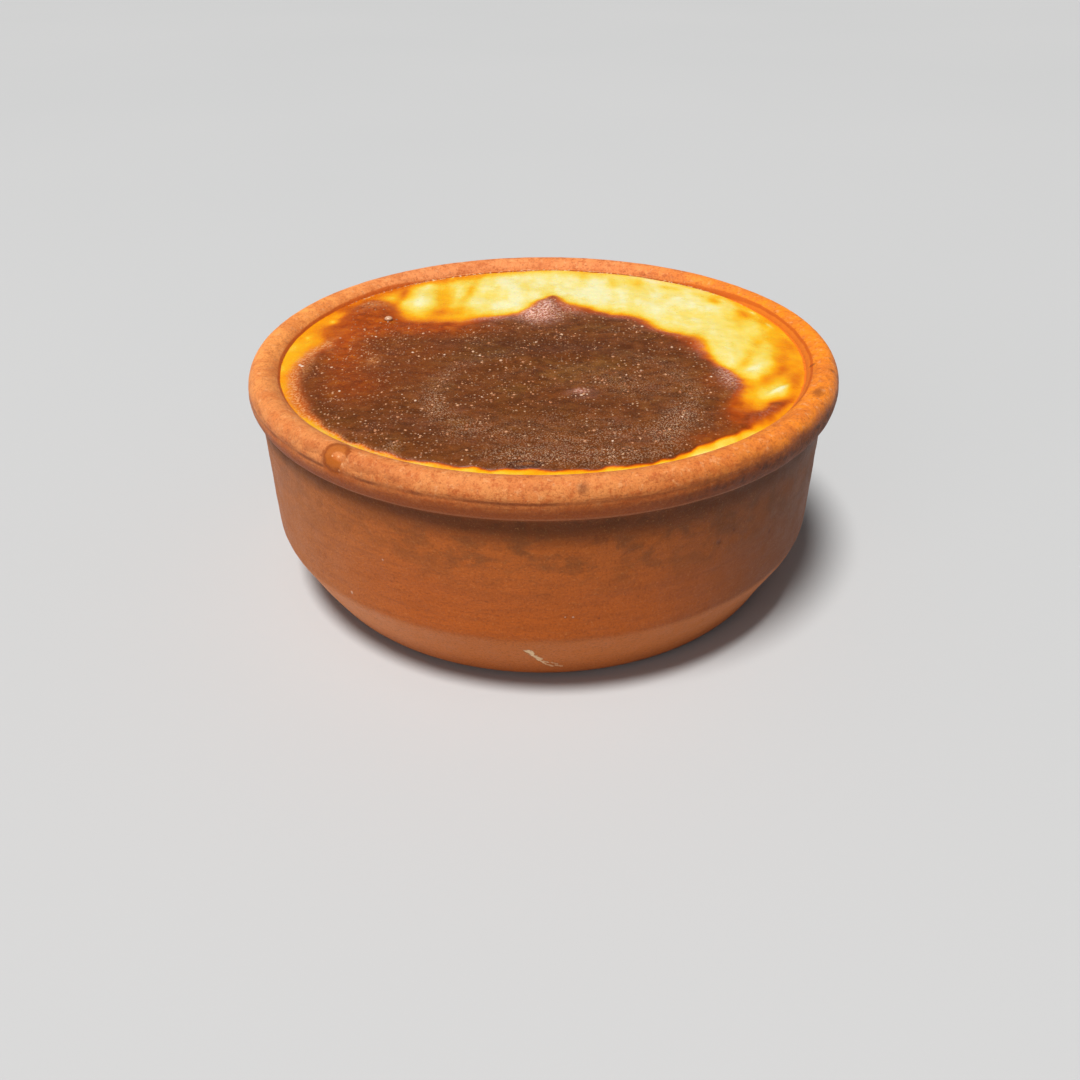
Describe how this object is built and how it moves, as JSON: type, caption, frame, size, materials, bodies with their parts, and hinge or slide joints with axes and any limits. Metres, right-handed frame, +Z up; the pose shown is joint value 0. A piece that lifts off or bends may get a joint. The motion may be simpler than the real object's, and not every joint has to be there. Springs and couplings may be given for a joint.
{
  "type": "baked rice pudding",
  "caption": "Rice pudding baked in a round unglazed clay bowl with a rolled rim, its surface browned to a dark skin.",
  "frame": {"origin": "middle of the bowl's flat base, on the surface that it stands on", "axes": "+Z up along the bowl's turning axis; the front, as first seen, is towards -Y; +X to the right"},
  "size_m": [0.12, 0.12, 0.0476],
  "materials": {
    "terracotta": "unglazed fired clay, lightly burnished, sooted under the rim",
    "baked_custard": "satin baked milk skin, dark brown, with pale yellow custard at the back edge"
  },
  "bodies": {
    "root": {"clay_bowl": "terracotta", "rice_pudding": "baked_custard"}
  },
  "joints": []
}
